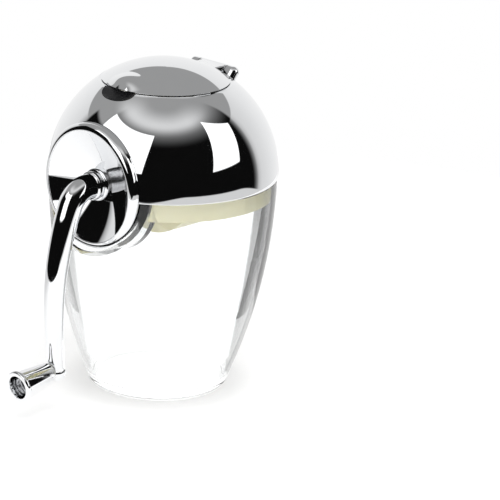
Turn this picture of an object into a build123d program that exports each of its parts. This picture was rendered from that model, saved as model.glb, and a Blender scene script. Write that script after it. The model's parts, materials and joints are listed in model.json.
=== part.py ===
from build123d import *
import os
from math import sqrt, sin, cos, radians, degrees, asin

# Ice crusher with a hand crank, in millimetres. The origin is the centre of the
# container's foot on the table, +Z is up and the crank points towards -Y.

# Overall form
dome_radius = 75.0          # chrome dome, a half sphere
seam_height = 143.5         # where the dome sits on the container
dome_wall = 2.5
lid_cap = 13.2              # top of the lid above its rim
lid_wall = 2.3
lid_gap = 0.4               # open line between the lid and the dome

# Container
mouth_overhang = 0.7        # how far the dome stands proud of the container
side_arc = 360.0            # radius of the container's bellied side
container_wall = 3.0
container_floor = 5.0
foot_fillet = 5.6
inner_fillet = 9.0
rim_fillet = 0.7

# Crank dish, measured from the body's axis along the crank's axis
crank_rise = 2.6            # crank axis above the seam
dish_radius = 40.8
dish_face_radius = 36.2     # edge of the bowl, inside the rounded rim
dish_reach = 68.2           # crown of the rim
bowl_depth = 14.5
bowl_bulge = 1.0            # how far the bowl's side bows out from a straight cone
bowl_lip_round = 0.4        # small round between the bowl and the crown of the rim
bowl_lip_slope = 32.0       # lean of the bowl's wall at its lip, degrees
bowl_flat_radius = 8.5      # flat middle round the bush
dish_wall = 2.0
dish_skirt_reach = 56.0     # inner end of the skirt behind the rim
dish_seat_gap = 0.15
dish_seat_bore = 30.4       # hole in the ledge that the skirt rests on
dish_screw_ring = 34.6
dish_post_height = 9.0
pocket_gap = 0.6            # container's pocket to the dish and to the hopper
pocket_wall = 3.0
pocket_floor_gap = 1.0      # back of the bowl to the pocket's floor

# Hopper and crushing chamber
collar_drop = 12.3          # ivory band below the seam
collar_rise = 6.5
collar_wall = 2.4
collar_gap = 0.6
deck_thickness = 2.5
chamber_radius = 38.0       # inside of the trough
chamber_wall = 2.5
chamber_front = 9.7         # inner front wall, towards the crank
chamber_back = 36.0
chamber_top_rise = 26.0     # straight walls above the crank axis
funnel_radius = 38.0
funnel_wall = 2.0
funnel_drop = 7.3           # funnel's mouth below the lid's rim
slot_half_width = 14.0      # discharge slot in the trough
slot_margin = 3.0           # from the chamber's end walls to the slot
chamber_corner = 3.0        # corner radius where the funnel meets the chamber
flange_width = 7.0
flange_thickness = 2.4
bearing_tube_radius = 11.0
rear_boss_radius = 10.5
rear_boss_length = 8.0
pad_height = 9.0            # screw pads at the trough's top edge
comb_pad_start = 30.0       # screw pads for the combs, from the shaft's axis

# Rotor
shaft_radius = 5.8
running_fit = 0.06
seat_fit = 0.04
bush_wall = 1.4
bush_length = 14.0
bush_flange_radius = 10.6
bush_flange = 1.5
disc_count = 4
disc_thickness = 3.0
disc_tip_radius = 31.0
disc_root_radius = 14.5
tooth_count = 3
tooth_points = (            # hooked tooth, as fractions of the tip radius: out, sideways
    (0.0, -0.29), (0.40, -0.31), (0.77, -0.21), (0.98, 0.11),
    (0.89, 0.18), (0.71, 0.10), (0.50, 0.23), (0.0, 0.26),
)
hex_flat = 10.0             # across flats, where the discs sit on the shaft
spacer_radius = 9.8
end_play = 0.3
washer_thickness = 1.0
washer_radius = 10.2
clip_thickness = 1.2
clip_radius = 9.0
clip_groove_radius = 4.8
clip_mouth = 4.2            # half width of the clip's open side
shaft_tail = 2.2
shaft_flat = 0.8            # depth of the flat under the hub's set screw

# Combs
comb_tip = 12.0             # how near the fingers come to the shaft's axis
comb_slot = 5.2
comb_thickness = 5.0
comb_drop = 7.0             # comb plane below the crank axis
comb_clearance = 1.2        # tooth tips to the bottom of a comb's slot
comb_end_gap = 0.2
comb_screw_bite = 4.0

# Crank
hub_reach = 58.5            # inner face of the hub
hub_length = 8.0
hub_flange_radius = 10.5
hub_flange = 3.2
hub_radius = 9.3
shaft_in_hub = 6.0
hub_bead = 1.2              # roundness of the flange
hub_step = 1.0
set_screw_place = 3.8       # from the hub's inner face
set_screw_socket = 0.8
arm_straight = 1.5
arm_bend_radius = 16.0
arm_bend_angle = 68.0
arm_upper_radius = 171.0
arm_lower_radius = 357.0
arm_lean = 7.3              # how far the end of the arm leans back in, degrees
arm_root = 8.3
arm_neck = 8.0
arm_waist = 6.6
arm_tip = 5.7
arm_ball = 6.3
knob_rise = 2.3             # knob axis above the centre of the arm's end ball

# Knob, measured from the arm's centreline along the knob's axis
knob_seat = 5.9
knob_length = 26.6
knob_inner_radius = 7.2
knob_outer_radius = 10.8
knob_bore = 7.5
knob_bore_depth = 14.0
knob_lip = 1.2              # how far the bead at the outer end stands proud
knob_bead = 3.2
knob_edge = 0.7
pin_radius = 3.0
pin_head_radius = 5.4
pin_head = 3.0
pin_depth = 3.5             # past the arm's centreline
pin_slot = 1.2
knob_washer = 0.8
knob_washer_radius = 5.8

# Lid hinge and thumb tab
hinge_reach = 44.8          # barrel axis behind the body's axis
hinge_rise = 0.5            # barrel axis above the lid's rim
barrel_radius = 3.9
knuckle_half = 12.0
knuckle_gap = 0.4
ear_outer = 20.8
hinge_pin_radius = 1.6
hinge_pin_margin = 3.0
bridge_start = 25.5         # where the lid's raised hinge block begins, behind the body's axis
bridge_round = 3.0
ear_depth = 11.0            # how deep the ears reach into the dome, from the barrel's axis
tab_half_width = 14.5
tab_depth = 9.0
tab_rise = 3.4
tab_reach = 37.0
scoop_half_width = 16.5
scoop_depth = 9.5
scoop_rise = 6.0
scoop_offset = 1.5          # centre of the scoop's form outside and above the lid's rim
scoop_wall = 2.2

# Lid liner
liner_radius = 38.0
liner_drop = 3.8
liner_thickness = 2.0
liner_screw_ring = 24.0
liner_screw_angles = (90, 210, 330)
liner_screw_depth = 7.0

# Screws
screw_radius = 1.5
screw_head_radius = 3.0
screw_head = 2.2
screw_head_round = 0.8
screw_cross = 2.4           # half length of the cross recess
screw_cross_width = 0.8
screw_boss_radius = 4.0
screw_bite = 9.0
hopper_screw_ring = 59.0
hopper_screw_angles = (-22, 62, 118, 202)
dish_screw_angles = (35, 90, 145)

# Worked out
mouth_radius = dome_radius - mouth_overhang
crank_height = seam_height + crank_rise
lid_height = seam_height + dome_radius - lid_cap
funnel_top = lid_height - funnel_drop
hinge_height = lid_height + hinge_rise
dish_back = dish_reach - bowl_depth - dish_wall
pocket_floor_outer = dish_back - pocket_floor_gap
pocket_floor_inner = pocket_floor_outer - pocket_wall
pocket_radius = dish_radius + pocket_gap
collar_radius = mouth_radius - container_wall - collar_gap
deck_bottom = seam_height - collar_drop
deck_top = deck_bottom + deck_thickness
trough_radius = chamber_radius + chamber_wall
trough_front = chamber_front + chamber_wall
trough_back = chamber_back + chamber_wall
chamber_length = chamber_front + chamber_back
pitch = chamber_length / disc_count
tube_bore = shaft_radius + running_fit + bush_wall + seat_fit
bush_radius = tube_bore - seat_fit
rear_boss_end = trough_back + rear_boss_length
lid_rim_radius = sqrt(dome_radius**2 - (lid_height - seam_height)**2)
comb_screw_seat = trough_radius + 0.6
hub_end = hub_reach + hub_length
arm_start = hub_end
low = (Align.CENTER, Align.CENTER, Align.MIN)
crank_axis = Axis((0, 0, crank_height), (0, -1, 0))
dome_centre = Pos(0, 0, seam_height)


def crank_rod(radius, near, far):
    """Round bar on the crank axis; a negative distance lies behind the body's axis."""
    start = Plane(origin=(0, -near, crank_height), x_dir=(1, 0, 0), z_dir=(0, -1, 0))
    return start * Cylinder(radius, far - near, align=low)


def crank_turned(outline):
    """Solid turned on the crank axis from an outline of (radius, distance) points."""
    flat = Plane(origin=(0, 0, crank_height), x_dir=(0, 0, 1), z_dir=(1, 0, 0))
    return revolve(flat * make_face(outline), crank_axis)


def upright_turned(outline):
    return revolve(Plane.XZ * make_face(outline), Axis.Z)


def x_rod(radius, x_from, x_to, y, z):
    start = Plane(origin=(x_from, y, z), x_dir=(0, 1, 0), z_dir=(1, 0, 0))
    return start * Cylinder(radius, x_to - x_from, align=low)


def block(x_range, y_range, z_range):
    """Box between two corners, given as ranges."""
    size = [b - a for a, b in (x_range, y_range, z_range)]
    mid = [(a + b) / 2 for a, b in (x_range, y_range, z_range)]
    return Pos(*mid) * Box(*size)


def ellipsoid(half_x, half_y, half_z):
    return scale(Sphere(1), by=(half_x, half_y, half_z))


def side_radius(height, inset=0.0):
    """Radius of the container's side at a height, drawn in by an inset."""
    centre = mouth_radius - side_arc
    return centre + sqrt((side_arc - inset) ** 2 - (seam_height - height) ** 2)


def vessel(inset, bottom, fillet_radius):
    """Solid with the container's bellied side, up to the seam."""
    middle = (bottom + seam_height) / 2
    points = [(side_radius(z, inset), z) for z in (bottom, middle, seam_height)]
    outline = ThreePointArc(*points) + Polyline(points[2], (0, seam_height), (0, bottom), points[0])
    solid = upright_turned(outline)
    foot = solid.edges().filter_by(GeomType.CIRCLE).sort_by(Axis.Z)[0]
    return fillet(foot, fillet_radius)


def container():
    outer = vessel(0, 0, foot_fillet)
    shell = outer - vessel(container_wall, container_floor, inner_fillet)
    pocket = crank_rod(pocket_radius + pocket_wall, pocket_floor_inner, dome_radius) & outer
    shell = shell + pocket
    shell = shell - crank_rod(pocket_radius, pocket_floor_outer, 2 * dome_radius)
    shell = shell - crank_rod(bearing_tube_radius + pocket_gap, 0, dome_radius)
    rim = shell.faces().sort_by(Axis.Z)[-1].outer_wire().edges()
    arcs = rim.filter_by(lambda e: e.geom_type == GeomType.CIRCLE and e.radius > mouth_radius - 0.1)
    return fillet(arcs, rim_fillet)


def screw_bosses():
    bosses = []
    for angle in hopper_screw_angles:
        x = hopper_screw_ring * cos(radians(angle))
        place = Pos(x, hopper_screw_ring * sin(radians(angle)), deck_top)
        boss = place * Cylinder(screw_boss_radius, dome_radius, align=low)
        hole = place * Cylinder(screw_radius, screw_bite, align=low)
        bosses.append((boss, hole))
    return bosses


def dish_screw_places():
    for angle in dish_screw_angles:
        x = dish_screw_ring * cos(radians(angle))
        yield x, crank_height + dish_screw_ring * sin(radians(angle))


def scoop(extra):
    """Finger scoop's form below the thumb tab, grown by extra."""
    tilt = degrees(asin(lid_rim_radius / dome_radius))
    place = Pos(0, -lid_rim_radius - scoop_offset, lid_height + scoop_offset)
    return place * Rot(tilt, 0, 0) * ellipsoid(
        scoop_half_width + extra, scoop_depth + extra, scoop_rise + extra)


def hinge_ear(side):
    """Rounded ridge on the dome beside the lid's knuckle."""
    flat_end = sorted((side * (knuckle_half + knuckle_gap), side * (ear_outer - barrel_radius)))
    centre = Pos(side * (ear_outer - barrel_radius), hinge_reach, hinge_height)
    lean = Rot(-degrees(asin(hinge_reach / dome_radius)), 0, 0)
    barrel = x_rod(barrel_radius, flat_end[0], flat_end[1], hinge_reach, hinge_height)
    web = block([x - centre.position.X for x in flat_end], (-barrel_radius, barrel_radius), (-ear_depth, 0))
    foot = Cylinder(barrel_radius, ear_depth, align=(Align.CENTER, Align.CENTER, Align.MAX))
    ridge = barrel + centre * Sphere(barrel_radius) + centre * lean * (web + foot)
    lid_room = Cylinder(lid_rim_radius + lid_gap, dome_radius, align=low)
    return ridge - Pos(0, 0, lid_height - lid_gap) * lid_room


def dome_housing():
    ball = dome_centre * Sphere(dome_radius)
    hollow = dome_centre * Sphere(dome_radius - dome_wall)
    band = Pos(0, 0, seam_height) * Cylinder(dome_radius + 1, lid_height - lid_gap - seam_height, align=low)
    solid = ball & band
    cup = crank_rod(dish_radius + dish_seat_gap + dome_wall, dish_skirt_reach - dome_wall, dome_radius)
    liner_room = Cylinder(liner_radius + lid_gap, 2 * lid_height)
    shell = (solid - hollow) + (cup & solid) + ((scoop(scoop_wall) & solid) - liner_room)
    for boss, hole in screw_bosses():
        shell = shell + (boss & ball) - hole
    for side in (-1, 1):
        shell = shell + (hinge_ear(side) - hollow)
    room = knuckle_half + knuckle_gap
    shell = shell - x_rod(barrel_radius + knuckle_gap, -room, room, hinge_reach, hinge_height)
    shell = shell - crank_rod(dish_radius + dish_seat_gap, dish_skirt_reach, 2 * dome_radius)
    shell = shell - crank_rod(dish_seat_bore, 0, dome_radius)
    shell = shell - scoop(0)
    pin_half = ear_outer - hinge_pin_margin
    shell = shell - x_rod(hinge_pin_radius, -pin_half, pin_half, hinge_reach, hinge_height)
    for x, z in dish_screw_places():
        hole = Plane(origin=(x, -(dish_skirt_reach - 2 * dome_wall), z), x_dir=(1, 0, 0), z_dir=(0, -1, 0))
        shell = shell - hole * Cylinder(screw_radius + running_fit, 3 * dome_wall, align=low)
    return shell


def bowl_profile(offset):
    """Bowl's inner line, moved back by offset: flat middle, then an arc to the rim."""
    start = (bowl_flat_radius, dish_reach - bowl_depth - offset)
    slope = radians(bowl_lip_slope)
    end = (dish_face_radius + offset * sin(slope), dish_reach - bowl_lip_round - offset * cos(slope))
    chord_mid = ((start[0] + end[0]) / 2, (start[1] + end[1]) / 2)
    length = sqrt((end[0] - start[0]) ** 2 + (end[1] - start[1]) ** 2)
    normal = ((end[1] - start[1]) / length, -(end[0] - start[0]) / length)
    middle = (chord_mid[0] + normal[0] * bowl_bulge, chord_mid[1] + normal[1] * bowl_bulge)
    return start, middle, end


def crank_dish():
    a_start, a_mid, a_end = bowl_profile(0)
    b_start, b_mid, b_end = bowl_profile(dish_wall)
    crown = (dish_face_radius + bowl_lip_round, dish_reach)
    rim_round = dish_radius - crown[0]
    shoulder = (dish_radius, dish_reach - rim_round)
    half = cos(radians(45))
    lip_mid = (crown[0] - bowl_lip_round * half, dish_reach - bowl_lip_round * (1 - half))
    rim_mid = (crown[0] + rim_round * half, dish_reach - rim_round * (1 - half))
    outline = (
        Polyline((tube_bore, a_start[1]), a_start)
        + ThreePointArc(a_start, a_mid, a_end)
        + ThreePointArc(a_end, lip_mid, crown)
        + ThreePointArc(crown, rim_mid, shoulder)
        + Polyline(shoulder, (dish_radius, dish_skirt_reach), (dish_radius - dish_wall, dish_skirt_reach),
                   (dish_radius - dish_wall, b_end[1] - dish_wall), b_end)
        + ThreePointArc(b_end, b_mid, b_start)
        + Polyline(b_start, (tube_bore, b_start[1]), (tube_bore, a_start[1]))
    )
    dish = crank_turned(outline)
    back = b_start[1] - dish_wall
    behind = crank_turned(
        Polyline((0, b_start[1]), b_start) + ThreePointArc(b_start, b_mid, b_end)
        + Polyline(b_end, (dish_radius, b_end[1]), (dish_radius, back), (0, back), (0, b_start[1])))
    for x, z in dish_screw_places():
        seat = Plane(origin=(x, -dish_skirt_reach, z), x_dir=(1, 0, 0), z_dir=(0, -1, 0))
        post = seat * Cylinder(screw_boss_radius, dish_post_height, align=low)
        dish = dish + (post & behind)
        dish = dish - seat * Cylinder(screw_radius, dish_post_height / 2, align=low)
    return dish


def chamber(grow, bottom, top):
    """Trough's form along the crank axis, grown by the wall, between two heights."""
    ends = (-chamber_front - grow, chamber_back + grow)
    radius = chamber_radius + grow
    round_part = crank_rod(radius, -ends[1], -ends[0])
    straight = block((-radius, radius), ends, (crank_height, crank_height + chamber_top_rise))
    limits = block((-2 * radius, 2 * radius), (ends[0] - 1, ends[1] + 1), (bottom, top))
    lower = round_part & block((-2 * radius, 2 * radius), ends, (0, crank_height))
    return (lower + straight) & limits


def funnel(grow):
    """Round mouth under the lid drawn out to the chamber's four walls."""
    foot_height = crank_height + chamber_top_rise
    width = 2 * (chamber_radius + grow)
    depth = chamber_length + 2 * grow
    middle = (chamber_back - chamber_front) / 2
    foot = Pos(0, middle, foot_height) * RectangleRounded(width, depth, chamber_corner + grow)
    mouth = Pos(0, 0, funnel_top) * Circle(funnel_radius + grow)
    return loft([foot, mouth])


def hopper():
    ring = Pos(0, 0, deck_bottom) * Cylinder(collar_radius, collar_drop + collar_rise, align=low)
    inside = Pos(0, 0, deck_top) * Cylinder(collar_radius - collar_wall, dome_radius, align=low)
    body = ring - inside
    clear = crank_rod(pocket_radius + pocket_wall + pocket_gap, pocket_floor_inner - pocket_gap, dome_radius)
    cup_radius = dish_radius + dish_seat_gap + dome_wall
    cup_room = crank_rod(cup_radius + pocket_gap, pocket_floor_inner, dome_radius)
    body = body - clear - cup_room
    body = body + chamber(chamber_wall, deck_bottom, crank_height + chamber_top_rise)
    body = body + (funnel(funnel_wall) - funnel(0))
    body = body + crank_rod(bearing_tube_radius, trough_front, dish_back)
    body = body + crank_rod(rear_boss_radius, -rear_boss_end, -trough_back)
    body = body - chamber(0, deck_bottom - 1, crank_height + chamber_top_rise)
    body = body - crank_rod(tube_bore, -dome_radius, dome_radius)
    for x, y in trough_screw_places():
        pad = Pos(x, y, deck_bottom) * Cylinder(screw_boss_radius, pad_height, align=low)
        body = body + (pad - chamber(0, deck_bottom - 1, crank_height))
    for x, y in trough_screw_places():
        body = body - Pos(x, y, deck_bottom) * Cylinder(screw_radius, pad_height - 1, align=low)
    for angle in hopper_screw_angles:
        x = hopper_screw_ring * cos(radians(angle))
        place = Pos(x, hopper_screw_ring * sin(radians(angle)), deck_bottom)
        body = body - place * Cylinder(screw_radius + running_fit, 3 * deck_thickness, align=low)
    for side, y in comb_screw_places():
        pad = sorted((side * comb_pad_start, side * comb_screw_seat))
        body = body + (x_rod(screw_boss_radius, pad[0], pad[1], y, crank_height - comb_drop)
                       - chamber(0, deck_bottom - 1, crank_height + chamber_top_rise))
    for side, y in comb_screw_places():
        hole = sorted((side * comb_pad_start, side * (comb_screw_seat + 1)))
        body = body - x_rod(screw_radius + running_fit, hole[0], hole[1], y, crank_height - comb_drop)
    return body


def trough_screw_places():
    x = trough_radius + flange_width / 3
    for y in (-chamber_front + screw_boss_radius, chamber_back - screw_boss_radius):
        yield x, y
        yield -x, y


def comb_screw_places():
    for side in (-1, 1):
        for y in (-chamber_front + pitch, chamber_back - pitch):
            yield side, y


def trough():
    width = trough_radius + flange_width
    ends = (-trough_front, trough_back)
    flange = block((-width, width), ends, (deck_bottom - flange_thickness, deck_bottom))
    body = flange + chamber(chamber_wall, 0, deck_bottom)
    body = body - chamber(0, 0, deck_bottom + 1)
    slot_ends = (-chamber_front + slot_margin, chamber_back - slot_margin)
    body = body - block((-slot_half_width, slot_half_width), slot_ends, (0, deck_bottom))
    for x, y in trough_screw_places():
        hole = Pos(x, y, deck_bottom - flange_thickness)
        body = body - hole * Cylinder(screw_radius + running_fit, flange_thickness, align=low)
    return body


def comb(side):
    """Bar on the chamber's wall with fingers between the toothed discs."""
    height = crank_height - comb_drop
    outer = sqrt(chamber_radius**2 - (comb_drop + comb_thickness / 2) ** 2)
    rows = (height - comb_thickness / 2, height + comb_thickness / 2)
    ends = (-chamber_front + comb_end_gap, chamber_back - comb_end_gap)
    bar = block(sorted((side * comb_tip, side * outer)), ends, rows)
    for i in range(disc_count):
        y = -chamber_front + pitch * (i + 0.5)
        cut = sorted((0, side * (disc_tip_radius + comb_clearance)))
        bar = bar - block(cut, (y - comb_slot / 2, y + comb_slot / 2), (rows[0] - 1, rows[1] + 1))
    for hole_side, y in comb_screw_places():
        if hole_side == side:
            hole = sorted((side * (outer - comb_screw_bite), side * (outer + 1)))
            bar = bar - x_rod(screw_radius, hole[0], hole[1], y, height)
    return bar


def screw(length):
    """Pan-head screw standing on its head's underside at the origin, shank up."""
    head = Pos(0, 0, -screw_head) * Cylinder(screw_head_radius, screw_head, align=low)
    head = fillet(head.edges().sort_by(Axis.Z)[0], screw_head_round)
    shank = Cylinder(screw_radius - seat_fit, length, align=low)
    long, wide = (-screw_cross, screw_cross), (-screw_cross_width / 2, screw_cross_width / 2)
    depth = (-screw_head - 1, -screw_head + screw_cross_width)
    return head + shank - block(long, wide, depth) - block(wide, long, depth)


def comb_screws():
    height = crank_height - comb_drop
    group = []
    for side, y in comb_screw_places():
        seat = Plane(origin=(side * comb_screw_seat, y, height), x_dir=(0, 1, 0), z_dir=(-side, 0, 0))
        group.append(seat * screw(comb_screw_seat - chamber_radius + comb_screw_bite))
    return Compound(children=group)


def hopper_screws():
    group = []
    for angle in hopper_screw_angles:
        x = hopper_screw_ring * cos(radians(angle))
        place = Pos(x, hopper_screw_ring * sin(radians(angle)), deck_bottom)
        group.append(place * screw(deck_thickness + screw_bite - 1))
    return Compound(children=group)


def trough_screws():
    group = []
    for x, y in trough_screw_places():
        place = Pos(x, y, deck_bottom - flange_thickness)
        group.append(place * screw(flange_thickness + pad_height - 2))
    return Compound(children=group)


def dish_screws():
    group = []
    for x, z in dish_screw_places():
        seat = Plane(origin=(x, -(dish_skirt_reach - dome_wall), z), x_dir=(1, 0, 0), z_dir=(0, -1, 0))
        group.append(seat * screw(dome_wall + dish_post_height / 2))
    return Compound(children=group)


def front_bush():
    face = dish_reach - bowl_depth
    body = crank_rod(bush_radius, face - bush_length, face)
    return body - crank_rod(shaft_radius + running_fit, 0, dome_radius)


def rear_bush():
    body = crank_rod(bush_radius, -rear_boss_end, -trough_back + 1.0)
    body = body + crank_rod(bush_flange_radius, -rear_boss_end - bush_flange, -rear_boss_end)
    return body - crank_rod(shaft_radius + running_fit, -dome_radius, 0)


def hex_bar(flat, near, far):
    start = Plane(origin=(0, -near, crank_height), x_dir=(1, 0, 0), z_dir=(0, -1, 0))
    return start * extrude(RegularPolygon(flat / 2, 6, major_radius=False), far - near)


def clip_start():
    return rear_boss_end + bush_flange + end_play + washer_thickness


def rotor_shaft():
    tail = clip_start() + clip_thickness + shaft_tail
    body = crank_rod(shaft_radius, -tail, -chamber_back + end_play)
    body = body + crank_rod(shaft_radius, chamber_front - end_play, hub_reach + shaft_in_hub)
    body = body + hex_bar(hex_flat, -chamber_back, chamber_front)
    groove = crank_rod(shaft_radius + 1, -clip_start() - clip_thickness, -clip_start())
    groove = groove - crank_rod(clip_groove_radius, -dome_radius, 0)
    flat = block((-shaft_radius - 1, -shaft_radius + shaft_flat),
                 (-hub_reach - shaft_in_hub - 1, -hub_reach + 1),
                 (crank_height - shaft_radius, crank_height + shaft_radius))
    return body - groove - flat


def disc_place(index):
    """Distance of a disc's middle along the crank axis; the first is the nearest to the crank."""
    return chamber_front - pitch * (index + 0.5)


def rotor_disc(index):
    step = 360 / tooth_count
    middle = disc_place(index)
    plate = Circle(disc_root_radius)
    for tooth in range(tooth_count):
        turn = tooth * step + index * step / disc_count
        corners = [(disc_tip_radius * out, disc_tip_radius * sideways) for out, sideways in tooth_points]
        hook = make_face(Polyline(*corners, close=True))
        plate = plate + Rot(0, 0, turn) * hook
    plate = plate & Circle(disc_tip_radius)
    plate = plate - RegularPolygon(hex_flat / 2 + seat_fit, 6, major_radius=False)
    start = Plane(origin=(0, -middle + disc_thickness / 2, crank_height), x_dir=(1, 0, 0), z_dir=(0, -1, 0))
    return start * extrude(plate, disc_thickness)


def spacer(index):
    """Sleeve in front of disc number index; the last lies behind the last disc."""
    far = chamber_front - end_play if index == 0 else disc_place(index - 1) - disc_thickness / 2
    near = -chamber_back + end_play if index == disc_count else disc_place(index) + disc_thickness / 2
    return crank_rod(spacer_radius, near, far) - hex_bar(hex_flat + 2 * seat_fit, near - 1, far + 1)


def thrust_washer():
    near = -clip_start()
    ring = crank_rod(washer_radius, near, near + washer_thickness)
    return ring - crank_rod(shaft_radius + seat_fit, near - 1, near + washer_thickness + 1)


def retaining_clip():
    near = -clip_start() - clip_thickness
    ring = crank_rod(clip_radius, near, near + clip_thickness)
    ring = ring - crank_rod(clip_groove_radius + seat_fit, near - 1, near + clip_thickness + 1)
    mouth = block((-clip_mouth, clip_mouth), (-near - clip_thickness - 1, -near + 1),
                  (crank_height, crank_height + 2 * clip_radius))
    return ring - mouth


def crank_hub():
    lip = hub_reach + hub_flange
    bore_end = hub_reach + shaft_in_hub
    waist = hub_flange_radius - hub_bead
    neck = hub_radius - hub_step
    bore = shaft_radius - 1
    outline = (
        Polyline((bore, hub_reach), (waist, hub_reach))
        + ThreePointArc((waist, hub_reach), (hub_flange_radius, hub_reach + hub_flange / 2), (waist, lip))
        + Polyline((waist, lip), (neck, lip), (neck, lip + hub_step), (hub_radius, lip + 1.5 * hub_step),
                   (hub_radius, hub_end - hub_step), (neck, hub_end), (0, hub_end), (0, bore_end),
                   (bore, bore_end), (bore, hub_reach))
    )
    body = crank_turned(outline)
    body = body - crank_rod(shaft_radius + seat_fit, hub_reach - 1, bore_end)
    return body - x_rod(screw_radius, -2 * hub_radius, -bore, -(hub_reach + set_screw_place), crank_height)


def hub_screw():
    y = -(hub_reach + set_screw_place)
    start = -hub_radius + hub_step / 2
    body = x_rod(screw_radius - seat_fit, start, -shaft_radius + shaft_flat, y, crank_height)
    socket = Plane(origin=(start, y, crank_height), x_dir=(0, 1, 0), z_dir=(1, 0, 0))
    return body - socket * extrude(RegularPolygon(set_screw_socket, 6), 1.5 * set_screw_socket)


def arm_point(turn):
    """Point of the arm's centreline as (outward, down) where it has turned so many degrees."""
    first = min(turn, arm_bend_angle)
    outward = arm_start + arm_straight + arm_bend_radius * sin(radians(first))
    down = arm_bend_radius * (1 - cos(radians(first)))
    if turn > arm_bend_angle:
        second = min(turn, 90)
        outward += arm_upper_radius * (sin(radians(second)) - sin(radians(arm_bend_angle)))
        down += arm_upper_radius * (cos(radians(arm_bend_angle)) - cos(radians(second)))
    if turn > 90:
        outward += arm_lower_radius * (sin(radians(turn)) - 1)
        down += arm_lower_radius * (0 - cos(radians(turn)))
    return outward, down


def arm_plane(turn):
    """Plane across the arm where it has turned so many degrees; its normal runs along the arm."""
    outward, down = arm_point(turn)
    along = (0, -cos(radians(turn)), -sin(radians(turn)))
    return Plane(origin=(0, -outward, crank_height - down), x_dir=(1, 0, 0), z_dir=along)


def knob_plane(distance):
    """Plane across the knob's axis at a distance from the arm's centreline."""
    turn = 90 + arm_lean
    outward, down = arm_point(turn)
    outward += knob_rise * sin(radians(arm_lean)) + distance * cos(radians(arm_lean))
    down += distance * sin(radians(arm_lean)) - knob_rise * cos(radians(arm_lean))
    normal = (0, -cos(radians(arm_lean)), -sin(radians(arm_lean)))
    return Plane(origin=(0, -outward, crank_height - down), x_dir=(1, 0, 0), z_dir=normal)


def knob_rod(radius, near, far):
    return knob_plane(near) * Cylinder(radius, far - near, align=low)


def arm_radius(turn):
    stops = ((0, arm_root), (arm_bend_angle, arm_neck), (90, arm_waist), (90 + arm_lean, arm_tip))
    for (turn_a, radius_a), (turn_b, radius_b) in zip(stops, stops[1:]):
        if turn <= turn_b:
            return radius_a + (radius_b - radius_a) * (turn - turn_a) / (turn_b - turn_a)
    return arm_tip


def crank_arm():
    turns = [arm_bend_angle * i / 4 for i in range(4)]
    turns += [arm_bend_angle + (90 - arm_bend_angle) * i / 4 for i in range(4)]
    turns += [90, 90 + arm_lean / 2, 90 + arm_lean]
    sections = [arm_plane(turn) * Circle(arm_radius(turn)) for turn in turns]
    body = loft(sections)
    root = Plane(origin=(0, -arm_start, crank_height), x_dir=(1, 0, 0), z_dir=(0, -1, 0))
    body = body + root * Cylinder(arm_root, arm_straight, align=low)
    outward, down = arm_point(90 + arm_lean)
    body = body + Pos(0, -outward, crank_height - down) * Sphere(arm_ball)
    flat = knob_rod(2 * arm_ball, knob_seat, knob_seat + arm_ball)
    return body - flat - knob_rod(pin_radius, -pin_depth, 2 * knob_length)


def knob_turned(outline):
    """Solid turned on the knob's axis from an outline of (radius, distance) points."""
    across = knob_plane(0)
    along = across.z_dir
    flat = Plane(origin=across.origin, x_dir=(1, 0, 0), z_dir=(0, -along.Z, along.Y))
    return revolve(flat * make_face(outline), Axis(across.origin, along))


def knob_sleeve():
    near = knob_seat + knob_washer + end_play
    far = near + knob_length
    hole = pin_radius + running_fit
    bead = far - knob_bead
    neck = knob_outer_radius - knob_lip
    outline = (
        Polyline((hole, near), (knob_inner_radius - knob_edge, near), (knob_inner_radius, near + knob_edge),
                 (neck, bead), (neck + 0.5 * knob_lip, bead))
        + ThreePointArc((neck + 0.5 * knob_lip, bead), (knob_outer_radius, (bead + far) / 2), (neck, far))
        + Polyline((neck, far), (knob_bore + knob_edge, far), (knob_bore, far - knob_edge),
                   (knob_bore, far - knob_bore_depth), (hole, far - knob_bore_depth), (hole, near))
    )
    return knob_turned(outline)


def knob_pin():
    near = knob_seat + knob_washer + end_play
    head_seat = near + knob_length - knob_bore_depth + end_play
    body = knob_rod(pin_radius - seat_fit, -pin_depth, head_seat)
    head = knob_rod(pin_head_radius, head_seat, head_seat + pin_head)
    head = fillet(head.edges().filter_by(GeomType.CIRCLE).sort_by(Axis.Y)[:1], screw_head_round)
    slot = Box(2 * pin_head_radius, pin_slot, pin_head, align=low)
    return body + head - knob_plane(head_seat + pin_head - pin_slot) * slot


def knob_washer_ring():
    ring = knob_rod(knob_washer_radius, knob_seat, knob_seat + knob_washer)
    return ring - knob_rod(pin_radius + seat_fit, knob_seat - 1, knob_seat + 2)


def liner_screw_places():
    for angle in liner_screw_angles:
        yield liner_screw_ring * cos(radians(angle)), liner_screw_ring * sin(radians(angle))


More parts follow.
